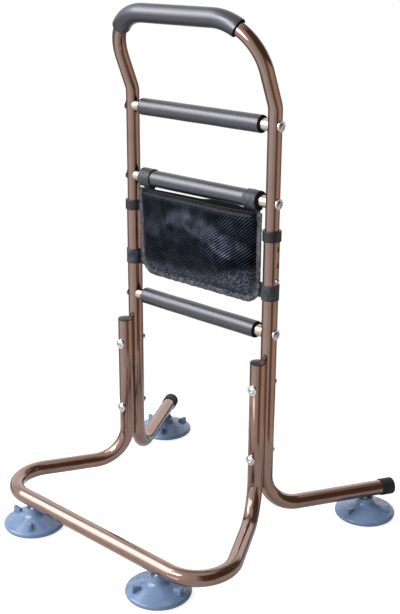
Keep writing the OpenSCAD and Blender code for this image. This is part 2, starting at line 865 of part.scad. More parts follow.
// Strap round a post, its tail running behind the pouch's lower corner
module post_strap(side) {
    loop_r = lower_tube_d / 2 + soft_fit;
    tail = pouch_side_gap + binding_w + strap_tail;
    color(soft_black)
        translate([side * post_spacing / 2, post_y, post_strap_z - strap_w / 2])
            linear_extrude(height = strap_w)
                mirror([side < 0 ? 1 : 0, 0]) {
                    ring(2 * (loop_r + strap_t), strap_t);
                    translate([-loop_r - tail, strap_tail_y]) square([tail, strap_t]);
                }
}

module upper_bar() { crossbar(upper_bar_z, upper_tube_d); }
module middle_bar() { crossbar(middle_bar_z, upper_tube_d); }
module lower_bar() { crossbar(lower_bar_z, lower_tube_d); }
module upper_bar_grip() { crossbar_grip(upper_bar_z, upper_tube_d); }
module middle_bar_grip() { crossbar_grip(middle_bar_z, upper_tube_d); }
module lower_bar_grip() { crossbar_grip(lower_bar_z, lower_tube_d); }
module left_collar() { collar(-1); }
module right_collar() { collar(1); }
module left_upright_plug() { upright_plug(-1); }
module right_upright_plug() { upright_plug(1); }
module left_rear_cap() { rear_cap(-1); }
module right_rear_cap() { rear_cap(1); }
module front_left_cup() { suction_cup(-front_cup_spacing / 2, front_y, tab_turns[0]); }
module front_right_cup() { suction_cup(front_cup_spacing / 2, front_y, tab_turns[1]); }
module rear_left_cup() { suction_cup(-rear_cup_x, rear_cup_y, tab_turns[2]); }
module rear_right_cup() { suction_cup(rear_cup_x, rear_cup_y, tab_turns[3]); }
module upper_bar_screws() { for (z = [upper_bar_z, middle_bar_z]) crossbar_screws(z, upper_tube_d); }
module lower_bar_screws() { crossbar_screws(lower_bar_z, lower_tube_d); }
module upper_bar_inserts() { for (z = [upper_bar_z, middle_bar_z]) crossbar_inserts(z, upper_tube_d); }
module lower_bar_inserts() { crossbar_inserts(lower_bar_z, lower_tube_d); }
module left_snap_button() { snap_button(-1); }
module right_snap_button() { snap_button(1); }
module left_snap_spring() { snap_spring(-1); }
module right_snap_spring() { snap_spring(1); }
module left_bar_strap() { bar_strap(-1); }
module right_bar_strap() { bar_strap(1); }
module left_post_strap() { post_strap(-1); }
module right_post_strap() { post_strap(1); }

upper_hoop();
handle_grip();
upper_bar();
upper_bar_grip();
middle_bar();
middle_bar_grip();
lower_bar();
lower_bar_grip();
left_post();
right_post();
left_collar();
right_collar();
base_hoop();
left_upright_plug();
right_upright_plug();
left_rear_cap();
right_rear_cap();
front_left_cup();
front_right_cup();
rear_left_cup();
rear_right_cup();
cup_studs();
cup_rivet_nuts();
base_bolts();
base_nuts();
upper_bar_screws();
lower_bar_screws();
upper_bar_inserts();
lower_bar_inserts();
left_snap_button();
right_snap_button();
left_snap_spring();
right_snap_spring();
pouch_front();
pouch_back();
pouch_binding();
left_bar_strap();
right_bar_strap();
left_post_strap();
right_post_strap();
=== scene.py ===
# %% [markdown]
# # Couch standing aid
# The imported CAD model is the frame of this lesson: its tubes, crossbars, collars and fasteners already have
# the right shapes and only need finishes. The soft pieces, which are the foam sleeves, the pouch and its
# straps, and the moulded suction cups are modelled here, each in the place that its CAD solid holds.

# %% Load the frame
import math

import bmesh
import bpy
from mathutils import Matrix, Vector, noise


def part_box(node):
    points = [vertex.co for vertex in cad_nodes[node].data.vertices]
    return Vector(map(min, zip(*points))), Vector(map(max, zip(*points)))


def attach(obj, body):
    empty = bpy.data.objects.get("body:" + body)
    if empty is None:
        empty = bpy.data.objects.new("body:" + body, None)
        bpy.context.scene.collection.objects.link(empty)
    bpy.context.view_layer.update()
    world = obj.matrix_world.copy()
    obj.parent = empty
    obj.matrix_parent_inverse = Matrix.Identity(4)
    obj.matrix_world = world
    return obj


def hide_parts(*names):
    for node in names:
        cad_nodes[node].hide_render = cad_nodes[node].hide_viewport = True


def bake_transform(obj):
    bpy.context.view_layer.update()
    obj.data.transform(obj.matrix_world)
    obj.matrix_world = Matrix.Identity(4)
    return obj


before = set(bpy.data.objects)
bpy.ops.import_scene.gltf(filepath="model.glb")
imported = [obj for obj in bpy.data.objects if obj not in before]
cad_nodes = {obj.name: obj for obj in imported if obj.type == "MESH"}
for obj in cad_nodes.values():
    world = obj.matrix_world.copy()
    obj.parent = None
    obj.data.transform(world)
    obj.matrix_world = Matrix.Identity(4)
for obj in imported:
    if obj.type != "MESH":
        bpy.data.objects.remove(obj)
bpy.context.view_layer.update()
MM = 0.001
POST_X, POST_Y = 150.0, 41.527  # axes of the posts, in mm

# %% [markdown]
# ## Camera
# The photograph was taken from the right front, a little above the handle, with a longish lens. The angles
# and the distance were worked out by fitting the tubes of the model to the picture, so they are typed in as
# plain numbers. A camera looks along its own -Z, so the direction back towards the viewer is its third axis.

# %% Camera
turn, tilt, roll = math.radians(42.36811), math.radians(19.04952), math.radians(0.34647)
MIDDLE = Vector((0, 0.041527, 0.385113))
SHIFT_RIGHT, SHIFT_DOWN, DISTANCE = 0.001864, 0.022884, 1.759423
FOCAL_PX, PICTURE_PX, SENSOR_H = 1065.727, 614, 36


def axes(x, y, z):
    """Turning that lays the three axes along these directions."""
    return Matrix((x, y, z)).transposed().to_4x4()


back = Vector((math.sin(turn) * math.cos(tilt), -math.cos(turn) * math.cos(tilt), math.sin(tilt)))
level_right = Vector((math.cos(turn), math.sin(turn), 0))
level_up = back.cross(level_right)
right = level_right * math.cos(roll) + level_up * math.sin(roll)
up = level_up * math.cos(roll) - level_right * math.sin(roll)
spot = MIDDLE + SHIFT_RIGHT * right - SHIFT_DOWN * up + DISTANCE * back

camera_data = bpy.data.cameras.new("camera")
camera_data.sensor_fit = "VERTICAL"
camera_data.sensor_height = SENSOR_H
camera_data.lens = FOCAL_PX * SENSOR_H / PICTURE_PX
camera = bpy.data.objects.new("camera", camera_data)
camera.matrix_world = Matrix.Translation(spot) @ axes(right, up, back)
bpy.context.collection.objects.link(camera)
bpy.context.scene.camera = camera
print("camera at", [round(v, 4) for v in spot], "lens", round(camera_data.lens, 2))

# %% [markdown]
# ## Tools for finishes
# Every finish is a node tree on Object coordinates, so that it looks the same from any side and can be baked.
# The first helpers open a finish, add a node and fill its sockets, and lay a finish on CAD nodes. The next
# ones make patterns: noise, a spread of levels, colours along a value, and sums and mixes of these. Colours
# are written as they look on a screen and made linear here.

# %% Finish helpers
def screen(r, g, b):
    """Linear colour of a screen colour given from 0 to 255."""
    linear = [v / 255 / 12.92 if v < 11 else ((v / 255 + 0.055) / 1.055) ** 2.4 for v in (r, g, b)]
    return (*linear, 1.0)


def add(tree, kind, sockets=None, **settings):
    """Add a node; a socket value that is itself an output is linked, and any other is set."""
    made = tree.nodes.new(kind)
    for key, value in settings.items():
        setattr(made, key, value)
    for key, value in (sockets or {}).items():
        if isinstance(value, bpy.types.NodeSocket):
            tree.links.new(value, made.inputs[key])
        else:
            made.inputs[key].default_value = value
    return made


def start_finish(name, **sockets):
    """New finish: its node tree, and the shader with constant sockets set on it."""
    material = bpy.data.materials.new(name)
    material.use_nodes = True
    shader = material.node_tree.nodes["Principled BSDF"]
    for key, value in sockets.items():
        shader.inputs[key.replace("_", " ")].default_value = value
    return material, material.node_tree, shader


def feed(tree, shader, **sockets):
    """Link outputs to the shader's sockets by name."""
    for key, value in sockets.items():
        tree.links.new(value, shader.inputs[key.replace("_", " ")])


def lay(finish, *names):
    """Put a finish on CAD nodes."""
    for name in names:
        cad_nodes[name].data.materials[0] = finish
    print(f"{finish.name} on {len(names)} nodes")


# %% Pattern helpers
def coords(tree, scale=(1, 1, 1), turned=(0, 0, 0)):
    """Object coordinates, stretched and turned."""
    place = add(tree, "ShaderNodeTexCoord").outputs["Object"]
    return add(tree, "ShaderNodeMapping", {"Vector": place, "Scale": scale, "Rotation": turned}).outputs[0]


def speckle(tree, scale, detail=3.0, stretch=(1, 1, 1)):
    """Noise on Object coordinates; scale is in blobs per metre."""
    return add(tree, "ShaderNodeTexNoise",
               {"Vector": coords(tree, stretch), "Scale": scale, "Detail": detail}).outputs["Fac"]


def between(tree, value, low, high, from_low=0.3, from_high=0.7):
    """Spread a value between two levels."""
    return add(tree, "ShaderNodeMapRange", {"Value": value, "From Min": from_low, "From Max": from_high,
                                            "To Min": low, "To Max": high}).outputs[0]


def tint(tree, value, *stops):
    """Colours along a value: stops are (place, colour)."""
    ramp = add(tree, "ShaderNodeValToRGB", {"Fac": value})
    steps = ramp.color_ramp.elements
    while len(steps) < len(stops):
        steps.new(1.0)
    for step, (place, colour) in zip(steps, stops):
        step.position, step.color = place, colour
    return ramp.outputs["Color"]


def two_tone(tree, value, dark, pale):
    """A tone that drifts between two screen colours."""
    return tint(tree, value, (0.3, screen(*dark)), (0.7, screen(*pale)))


def join(tree, operation, a, b):
    """One number from two."""
    return add(tree, "ShaderNodeMath", {0: a, 1: b}, operation=operation).outputs[0]


def blend(tree, share, first, second):
    """Mix of two colours; at a share of 1 it is the second."""
    return add(tree, "ShaderNodeMix", {0: share, 6: first, 7: second}, data_type="RGBA").outputs[2]


def relief(tree, shader, height, depth, strength=1.0):
    """Bump from a height; depth is in metres."""
    bump = add(tree, "ShaderNodeBump", {"Height": height, "Strength": strength, "Distance": depth})
    tree.links.new(bump.outputs["Normal"], shader.inputs["Normal"])


print("a screen grey of 128 is", round(screen(128, 128, 128)[0], 3), "in linear light")

# %% [markdown]
# ## Bronze lacquer on the tubes
# The bent tubes are steel with a glossy, metallic bronze coat. A metal shader gives the banded reflections
# of a polished tube, a thin clear coat gives the sharper glint on top, and three noises keep it from looking
# like plastic: a wide one that drifts the tone, a finer one that varies the gloss, and the finest for the
# orange-peel skin of sprayed lacquer.

# %% Bronze lacquer
bronze_lacquer, tree, shader = start_finish("bronze_lacquer", Metallic=1.0, Coat_Weight=1.0, Coat_IOR=1.8,
                                            Coat_Roughness=0.05)
feed(tree, shader, Base_Color=two_tone(tree, speckle(tree, 28), (147, 111, 95), (159, 122, 106)),
     Roughness=between(tree, speckle(tree, 260, 4), 0.1, 0.15))
relief(tree, shader, speckle(tree, 420, 2), 0.00004, 0.35)
lay(bronze_lacquer, "upper_hoop", "left_post", "right_post", "base_hoop")

# %% [markdown]
# ## Champagne crossbars and bright fasteners
# The bare ends of the crossbars are a pale champagne silver, and the bolts, nuts and snap buttons are plated
# bright. Both are metals with low roughness; a stretched noise gives the drawn tube its fine lengthwise
# lines, and a round noise gives the plating its slight haze.

# %% Champagne silver and bright plating
champagne_silver, tree, shader = start_finish("champagne_silver", Metallic=1.0)
drawn = speckle(tree, 900, 2, (0.02, 1, 1))
feed(tree, shader, Base_Color=two_tone(tree, drawn, (204, 191, 174), (222, 211, 197)),
     Roughness=between(tree, drawn, 0.16, 0.26))
lay(champagne_silver, "upper_bar", "middle_bar", "lower_bar")

bright_plating, tree, shader = start_finish("bright_plating", Metallic=1.0)
haze = speckle(tree, 700, 3)
feed(tree, shader, Base_Color=two_tone(tree, haze, (222, 223, 226), (238, 238, 240)),
     Roughness=between(tree, haze, 0.12, 0.22))
lay(bright_plating, "base_bolts", "base_nuts", "upper_bar_screws", "lower_bar_screws", "cup_studs",
    "cup_rivet_nuts", "left_snap_button", "right_snap_button")

# %% [markdown]
# ## Moulded black parts and hidden metal
# Collars and plugs are moulded plastic with a fine eggshell texture, and the caps on the rear legs are duller
# rubber. The inserts and the spring leaves inside the tubes are zinc grey. A bump from fine noise is what
# tells moulded plastic from paint.

# %% Black plastic, black rubber, zinc
black_plastic, tree, shader = start_finish("black_plastic", Specular_IOR_Level=0.5)
grain = speckle(tree, 1500, 2)
feed(tree, shader, Base_Color=two_tone(tree, speckle(tree, 90), (30, 30, 33), (38, 38, 41)),
     Roughness=between(tree, grain, 0.3, 0.4))
relief(tree, shader, grain, 0.00008, 0.4)
lay(black_plastic, "left_collar", "right_collar", "left_upright_plug", "right_upright_plug")

black_rubber, tree, shader = start_finish("black_rubber", Specular_IOR_Level=0.4)
bloom = speckle(tree, 160, 4)
feed(tree, shader, Base_Color=two_tone(tree, bloom, (28, 28, 30), (40, 40, 43)),
     Roughness=between(tree, bloom, 0.5, 0.62))
relief(tree, shader, speckle(tree, 1300, 2), 0.0001, 0.3)
lay(black_rubber, "left_rear_cap", "right_rear_cap")

zinc_grey, tree, shader = start_finish("zinc_grey", Metallic=1.0)
spangle = speckle(tree, 500, 2)
feed(tree, shader, Base_Color=two_tone(tree, spangle, (150, 152, 156), (176, 178, 182)),
     Roughness=between(tree, spangle, 0.3, 0.45))
lay(zinc_grey, "upper_bar_inserts", "lower_bar_inserts")

# %% [markdown]
# ## Putting a new piece in the frame
# Every new piece ends the same way: its bmesh becomes a mesh with smooth faces and sharp edges where they
# turn steeply, it gets its finish, it rides on a body when it has one, and the CAD solids that it stands for
# are hidden.

# %% Piece helper
def make_piece(name, bm, finish, body, stands_for=(), sharp=40):
    """Object from a bmesh; sharp is the turn, in degrees, past which an edge isn't smoothed."""
    mesh = bpy.data.meshes.new(name)
    bm.to_mesh(mesh)
    bm.free()
    mesh.materials.append(finish)
    mesh.shade_smooth()
    mesh.set_sharp_from_angle(angle=math.radians(sharp))
    piece = bpy.data.objects.new(name, mesh)
    bpy.context.collection.objects.link(piece)
    if body:
        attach(piece, body)
    if stands_for:
        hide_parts(*stands_for)
    print(f"{name}: {len(mesh.vertices)} vertices, {len(mesh.polygons)} faces, on {body or 'two bodies'}")
    return piece


# %% [markdown]
# ## Spring leaves
# Each snap button sits on one arm of a steel leaf, bent into a V inside the hoop's leg. When the button is
# pressed, that arm gives way and the other keeps its place on the far wall. The CAD leaf is copied and cut
# across at close levels, so that it has points along its length.

# %% Spring leaves
LEAF_LEVELS = 16


def spring_leaf(hand):
    """Leaf of the left (-1) or right (1) leg."""
    node = f"{hand}_snap_spring"
    bm = bmesh.new()
    bm.from_mesh(cad_nodes[node].data)
    bmesh.ops.remove_doubles(bm, verts=bm.verts, dist=0.005 * MM)
    low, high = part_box(node)
    for k in range(1, LEAF_LEVELS):
        level = low.z + (high.z - low.z) * k / LEAF_LEVELS
        bmesh.ops.bisect_plane(bm, geom=bm.verts[:] + bm.edges[:] + bm.faces[:], plane_co=(0, 0, level),
                               plane_no=(0, 0, 1))
    bmesh.ops.recalc_face_normals(bm, faces=bm.faces)
    piece = make_piece(f"{hand}_leaf", bm, zinc_grey, None, [node], 30)
    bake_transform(piece)


spring_leaf("left")
spring_leaf("right")

# %% [markdown]
# ## Foam finish
# The grips are closed-cell rubber foam: dark grey, smooth-skinned, with a wide soft highlight and a fine pore
# texture. One noise drives both the bump and the roughness, so that the highlight breaks up with the pores.
# The cut ends have an open-cell bump and are dull, and they are blacker than the skin: partly the cut foam's
# own colour and partly painted shade.

# %% Foam finish
foam_skin, tree, shader = start_finish("foam_skin", Specular_IOR_Level=1.0, IOR=1.62,
                                       Specular_Tint=(0.9, 0.9, 1.0, 1))
pores = speckle(tree, 1100, 3)
drift = speckle(tree, 40, 2)
feed(tree, shader, Base_Color=two_tone(tree, drift, (24, 23, 30), (32, 31, 39)),
     Roughness=between(tree, pores, 0.29, 0.37))
relief(tree, shader, pores, 0.00025, 0.3)

# The blacker colour of the cut ends is partly the cut foam's own and partly painted shade.
foam_cut_shade, tree, shader = start_finish("foam_cut_shade", Specular_IOR_Level=0.2)
cells = speckle(tree, 1600, 4)
feed(tree, shader, Base_Color=two_tone(tree, cells, (12, 12, 14), (26, 26, 29)),
     Roughness=between(tree, cells, 0.95, 0.8))
relief(tree, shader, cells, 0.0005, 0.6)
print("foam finishes ready: the skin, and the blacker cut ends")

# %% [markdown]
# ## Foam sleeve on the handle
# The sleeve covers the straight handle and runs into both bends, further on the left than on the right. It is
# a chain of circles set square to the tube's path and bridged: out along the skin, over the rounded end, back
# along the bore and over the other end, which closes the foam into one solid ring of wall.

# %% Circles along a path, bridged
FOAM_SIDES = 56
CUT_STEP = 0.2 * MM  # a wider step between two circles is a cut end
END_SWINGS = [math.radians(a) for a in (90, 70, 50, 30, 12)]


def bridge_circles(circles):
    """Join (place, radius) circles, each to the next and the last to the first."""
    bm = bmesh.new()
    loops = []
    for place, radius in circles:
        verts = bmesh.ops.create_circle(bm, cap_ends=False, segments=FOAM_SIDES, radius=radius,
                                        matrix=place)["verts"]
        loops.append((list({edge for vert in verts for edge in vert.link_edges}), radius))
    for (near, near_r), (far, far_r) in zip(loops, loops[1:] + loops[:1]):
        for face in bmesh.ops.bridge_loops(bm, edges=near + far)["faces"]:
            face.material_index = 1 if abs(near_r - far_r) > CUT_STEP else 0
    bmesh.ops.recalc_face_normals(bm, faces=bm.faces)
    return bm


def foam_wall(path, skin_r, bore_r, rounding):
    """Foam round a path of places whose third axis runs along it."""
    def beyond(place, way):
        return place @ Matrix.Translation((0, 0, way))

    first, last = path[0], path[-1]
    rounded = [(rounding * math.sin(a), skin_r - rounding * (1 - math.cos(a))) for a in END_SWINGS]
    lead_in = [(beyond(first, -way), r) for way, r in rounded]
    lead_out = [(beyond(last, way), r) for way, r in reversed(rounded)]
    bore = [beyond(last, rounding), *reversed(path), beyond(first, -rounding)]
    return bridge_circles(lead_in + [(place, skin_r) for place in path] + lead_out
                          + [(place, bore_r) for place in bore])


def foam_piece(name, bm, body, node):
    """Sleeve with its skin and its cut ends."""
    sleeve = make_piece(name, bm, foam_skin, body, [node], 60)
    sleeve.data.materials.append(foam_cut_shade)


# %% Sleeve on the handle
LEAN = math.radians(22.8)
HANDLE = Vector((0, -11.02, 831)) * MM
CORNER_R, HALF_RUN = 78 * MM, 72 * MM
LEFT_WRAP, RIGHT_WRAP = math.radians(46), math.radians(34)
HANDLE_SKIN_R, HANDLE_BORE_R, HANDLE_ROUNDING = 14.75 * MM, 11.2 * MM, 2 * MM
sideways = Vector((1, 0, 0))
uphill = Vector((0, -math.sin(LEAN), math.cos(LEAN)))
off_plane = sideways.cross(uphill)


def handle_place(side, swing, along):
    """Place on the handle's path: swing is the angle round a corner, along the way over the straight."""
    heading = sideways * math.cos(swing) - uphill * (side * math.sin(swing))
    spot = HANDLE + sideways * along
    if swing:
        spot += sideways * (side * CORNER_R * math.sin(swing)) - uphill * (CORNER_R * (1 - math.cos(swing)))
    return Matrix.Translation(spot) @ axes(off_plane, heading.cross(off_plane), heading)


handle_path = [handle_place(-1, LEFT_WRAP * k / 12, -HALF_RUN) for k in range(12, 0, -1)]
handle_path += [handle_place(1, 0, -HALF_RUN + 2 * HALF_RUN * k / 12) for k in range(13)]
handle_path += [handle_place(1, RIGHT_WRAP * k / 9, HALF_RUN) for k in range(1, 10)]
foam_piece("handle_sleeve", foam_wall(handle_path, HANDLE_SKIN_R, HANDLE_BORE_R, HANDLE_ROUNDING),
           "upper_frame", "handle_grip")

# %% [markdown]
# ## Foam sleeves on the crossbars
# These are straight pieces of foam tube. Hand pressure and the cutting of the tube leave them very slightly
# uneven, so the skin is moved in by a fraction of a millimetre with smooth noise; without it the highlight
# along each sleeve would be ruler-straight.

# %% Crossbar sleeves
BAR_BORE_R, BAR_ROUNDING, SKIN_FROM = 9.6 * MM, 2.5 * MM, 10 * MM
UNEVEN, UNEVEN_PER_M = 0.25, 34  # mean depth in mm, and blobs per metre
BAR_AXES = Matrix(((0, 0, 1), (1, 0, 0), (0, 1, 0))).to_4x4()


def crossbar_sleeve(name, node, body):
    """Straight sleeve in the box of its CAD solid."""
    low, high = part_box(node)
    middle, skin_r = (low + high) / 2, (high.z - low.z) / 2
    reach = high.x - BAR_ROUNDING
    path = [Matrix.Translation((-reach + 2 * reach * k / 24, middle.y, middle.z)) @ BAR_AXES for k in range(25)]
    bm = foam_wall(path, skin_r, BAR_BORE_R, BAR_ROUNDING)
    for vert in bm.verts:
        arm = Vector((0, vert.co.y - middle.y, vert.co.z - middle.z))
        if arm.length > SKIN_FROM:
            vert.co -= arm.normalized() * UNEVEN * MM * (1 + noise.noise(vert.co * UNEVEN_PER_M))
    foam_piece(name, bm, body, node)


crossbar_sleeve("upper_sleeve", "upper_bar_grip", "upper_frame")
crossbar_sleeve("middle_sleeve", "middle_bar_grip", "upper_frame")
crossbar_sleeve("lower_sleeve", "lower_bar_grip", "base")

# %% [markdown]
# ## Suction cup rubber
# The cups are moulded from soft blue-grey vinyl. Vinyl is glossy and lets a little light in, so the shader has
# a low roughness, a weak subsurface part and a coat. Dust settles in a faint mottle.

# %% Cup rubber
cup_vinyl, tree, shader = start_finish("cup_vinyl", Specular_IOR_Level=0.5, Subsurface_Weight=0.06,
                                       Subsurface_Scale=0.003, Subsurface_Radius=(0.8, 0.9, 1.0),
                                       Coat_Weight=0.6, Coat_Roughness=0.06)
mottle = speckle(tree, 70, 4)
feed(tree, shader, Base_Color=two_tone(tree, mottle, (107, 132, 170), (118, 146, 185)),
     Roughness=between(tree, speckle(tree, 300, 3), 0.2, 0.3))
relief(tree, shader, speckle(tree, 90, 2), 0.0002, 0.2)
print("cup vinyl ready")

# %% [markdown]
# ## Suction cups
# A cup is a lathe form: a neck that flares into a shallow cone with a rounded rim, hollow underneath, and a
# socket for the stud's head. Half of its section is drawn as a wire and spun round the axis. The three pull
# tabs are wedges with rounded edges that grow out of the cone and stand highest at their outer end.

# %% Section of a cup
CUP_R, CUP_H, NECK_R, NECK_EASE, EDGE_R, FLARE_R = 51.0, 31.0, 13.0, 0.6, 4.5, 12.0
SOCKET_R, SOCKET_LOW, SOCKET_TOP, SHANK_R = 8.1, 17, 21, 4.1
HOLLOW_H, HOLLOW_RIM = 6, 8
FLANK_TURN = 20
FLANK = math.radians(FLANK_TURN)


def arc(centre, radius, start, end, steps):
    """Points of an arc in the section, angles in degrees."""
    turns = [math.radians(start + (end - start) * k / steps) for k in range(steps + 1)]
    return [(centre[0] + radius * math.cos(a), centre[1] + radius * math.sin(a)) for a in turns]


edge_top = (CUP_R - EDGE_R + EDGE_R * math.sin(FLANK), EDGE_R + EDGE_R * math.cos(FLANK))
flare_foot_r = NECK_R + FLARE_R * (1 - math.sin(FLANK))
flare_z = edge_top[1] + (edge_top[0] - flare_foot_r) * math.tan(FLANK) + FLARE_R * math.cos(FLANK)
hollow_r = ((CUP_R - HOLLOW_RIM) ** 2 + HOLLOW_H ** 2) / (2 * HOLLOW_H)
hollow_start = math.degrees(math.asin((hollow_r - HOLLOW_H) / hollow_r))
cup_section = [(0, SOCKET_LOW), (SOCKET_R, SOCKET_LOW), (SOCKET_R, SOCKET_TOP), (SHANK_R, SOCKET_TOP),
               (SHANK_R, CUP_H), (NECK_R - NECK_EASE, CUP_H)]
cup_section += arc((NECK_R + FLARE_R, flare_z), FLARE_R, 180, 270 - FLANK_TURN, 9)
cup_section += arc((CUP_R - EDGE_R, EDGE_R), EDGE_R, 90 - FLANK_TURN, -90, 10)
cup_section += arc((0, HOLLOW_H - hollow_r), hollow_r, hollow_start, 90, 8)
print("cup section:", len(cup_section), "points, flare from", round(flare_z, 2), "mm")

# %% Cups and their pull tabs
TABS, TAB_IN, TAB_OUT, TAB_WIDE, TAB_ROUND = 3, 29.5, 43.5, 7, 1.1
TAB_FOOT, TAB_TOP_IN, TAB_TOP_OUT = 6.5, 19.0, 22.2


def pull_tab(bm, turn_deg):
    """Wedge with rounded edges, turned round the cup's axis."""
    block = bmesh.ops.create_cube(bm, size=1)["verts"]
    for vert in block:
        outer = vert.co.x > 0
        top = (TAB_TOP_OUT if outer else TAB_TOP_IN) if vert.co.z > 0 else TAB_FOOT
        vert.co = Vector((TAB_OUT if outer else TAB_IN, vert.co.y * TAB_WIDE, top)) * MM
    sides = list({edge for vert in block for edge in vert.link_edges})
    rounded = bmesh.ops.bevel(bm, geom=sides, offset=TAB_ROUND * MM, offset_type="OFFSET", affect="EDGES",
                              segments=3, profile=0.5, material=-1)
    bmesh.ops.transform(bm, matrix=Matrix.Rotation(math.radians(turn_deg), 4, "Z"),
                        verts=list({vert for face in rounded["faces"] for vert in face.verts}))


def suction_cup(place, tab_turn):
    """Cup at the middle of its CAD solid, its first tab turned by so many degrees."""
    node = f"{place}_cup"
    low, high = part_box(node)
    centre = Vector(((low.x + high.x) / 2, (low.y + high.y) / 2, 0))
    bm = bmesh.new()
    wire = [bm.verts.new((r * MM, 0, z * MM)) for r, z in cup_section]
    edges = [bm.edges.new(pair) for pair in zip(wire, wire[1:])]
    bmesh.ops.spin(bm, geom=wire + edges, cent=(0, 0, 0), axis=(0, 0, 1), angle=math.tau, steps=96,
                   use_merge=True)
    bmesh.ops.remove_doubles(bm, verts=bm.verts, dist=0.02 * MM)
    bmesh.ops.recalc_face_normals(bm, faces=bm.faces)
    for k in range(TABS):
        pull_tab(bm, tab_turn + 360 // TABS * k)
    bmesh.ops.translate(bm, vec=centre, verts=bm.verts)
    make_piece(f"{place}_sucker", bm, cup_vinyl, "base", [node], 50)


for place, tab_turn in (("front_left", 70), ("front_right", 7), ("rear_left", 62), ("rear_right", 21)):
    suction_cup(place, tab_turn)

# %% [markdown]
# ## Pouch cloth
# The front of the pouch is a black sports mesh with a satin sheen and a diamond knit: two sets of diagonal
# ribs that cross, one bolder than the other, with small holes between. It reads the sheet's own place in the
# frame, so the ribs run straight over the belly. The ribs are paler than the holes and stand up in the bump.
# Where the sheet's own attribute says that it is gathered, a paler speckle replaces the colour of the knit:
# painted sheen for the glints on the puckered cloth.

# %% Mesh cloth
KNIT_PITCH, KNIT_TURN, LIGHT_RIB = 0.0042, 48, 0.82


def ribs(tree, pitch, angle):
    """Height of parallel ribs in the plane of the pouch; pitch is in metres."""
    wave = add(tree, "ShaderNodeTexWave", {"Vector": coords(tree, turned=(0, math.radians(angle), 0)),
                                           "Scale": math.tau / 20 / pitch, "Distortion": 0.0, "Detail": 0.0},
               wave_type="BANDS", bands_direction="X", wave_profile="SIN")
    return wave.outputs["Fac"]


mesh_cloth, tree, shader = start_finish("mesh_cloth", Metallic=0.7, Specular_IOR_Level=0.1,
                                        Specular_Tint=(0.82, 0.9, 1.0, 1))
bold, light = ribs(tree, KNIT_PITCH, -KNIT_TURN), ribs(tree, KNIT_PITCH, KNIT_TURN)
knit = join(tree, "MAXIMUM", bold, join(tree, "MULTIPLY", light, LIGHT_RIB))
wear = join(tree, "MULTIPLY", knit, between(tree, speckle(tree, 60, 3), 0.8, 1.0))
flat_cloth = tint(tree, wear, (0.58, screen(4, 5, 8)), (0.8, screen(17, 20, 26)),
                  (0.97, screen(84, 93, 112)))
# Painted sheen: the paler speckle stands for the glints on the puckered cloth of the gathered band.
puckered_sheen = tint(tree, speckle(tree, 330, 3), (0.34, screen(40, 42, 50)), (0.5, screen(72, 76, 87)),
                (0.66, screen(118, 124, 138)))
gathered = add(tree, "ShaderNodeAttribute", attribute_name="gathered").outputs["Fac"]
feed(tree, shader, Base_Color=blend(tree, gathered, flat_cloth, puckered_sheen),
     Roughness=between(tree, knit, 0.36, 0.25))
relief(tree, shader, knit, 0.0005, 0.5)
print("mesh cloth ready")

# %% [markdown]
# ## Woven tapes
# Binding, hem and straps are woven polyester. Two crossed sets of fine waves make the weave, and a mottle wears
# it unevenly. The binding is a dark grey, the hem nearly black, the straps smoother and a little shiny, and
# the back panel black and dull.

# %% Woven finishes
def woven(name, dark, pale, pitch, depth, mottled=0.4, gloss=0.38, shine=0.5):
    """Weave between two screen colours; mottled is the share of wear, gloss the least roughness."""
    material, tree, shader = start_finish(name, Specular_IOR_Level=shine, Sheen_Weight=0.04,
                                          Sheen_Roughness=0.4)
    weave = join(tree, "MULTIPLY", ribs(tree, pitch, 0), ribs(tree, pitch, 90))
    wear = join(tree, "ADD", join(tree, "MULTIPLY", weave, 1 - mottled),
                join(tree, "MULTIPLY", between(tree, speckle(tree, 120, 4), 0.0, 1.0), mottled))
    feed(tree, shader, Base_Color=tint(tree, wear, (0.15, screen(*dark)), (0.75, screen(*pale))),
         Roughness=between(tree, wear, gloss + 0.2, gloss, 0.1, 0.8))
    relief(tree, shader, weave, depth, 0.5)
    return material


binding_tape = woven("binding_tape", (24, 25, 30), (96, 98, 108), 0.0016, 0.0003, 0.7)
hem_tape = woven("hem_tape", (15, 15, 19), (36, 36, 42), 0.0016, 0.0002)
strap_webbing = woven("strap_webbing", (30, 31, 38), (74, 76, 88), 0.0022, 0.0003, 0.6, 0.28)
back_cloth = woven("back_cloth", (20, 21, 24), (36, 37, 42), 0.0018, 0.0002, shine=0.1)
stitch_thread, tree, shader = start_finish("stitch_thread", Roughness=0.6, Sheen_Weight=0.2)
feed(tree, shader, Base_Color=two_tone(tree, speckle(tree, 1500, 2), (52, 54, 60), (78, 80, 88)))
print("woven finishes ready")

# %% [markdown]
# ## Front of the pouch
# The front panel is one sheet, flat under its bound sides and bottom and open at the top, and it sags into a
# belly. A fine grid is the sheet, and each of its points is laid on the form: a belly that swells more on the
# right, with a crest that falls from the middle to the right and drops at the far left, a shallow upright
# crease left of the middle, and puckers in the gathered band along the bottom, which is taller on the right.
# Moving points by formulas puts each of these where the photograph shows it.

# %% Form of the front panel
# Outline of the pouch, its seam, and how far the strap draws its lower left corner in, in mm
POUCH_HALF, POUCH_LOW, POUCH_H, POUCH_CORNER = 132.5, 398.0, 146.0, 28.0
SEAM_Y, DRAWN_IN = 36.5, 9
# The panel's margin inside the outline, at the bottom and at the sides, and the flat part that is bound, in mm
FOOT_MARGIN, SIDE_MARGIN, BOUND = 2, 1, 8
# The belly and what it gains on the right, the crease, the puckers, the slow ripple and the mouth's rise, in mm
BELLY, SWELL, CREASE, PUCKER, RIPPLE, MOUTH_RISE = 28, 6, 2.6, 2.2, 1.6, 1.2


def drawn_in(x, z):
    """Across place of a point once the strap has drawn the lower left corner in, in mm."""
    return x + DRAWN_IN * max(-x / POUCH_HALF, 0) ** 2 * (1 - max(min(z / POUCH_H, 1), 0))


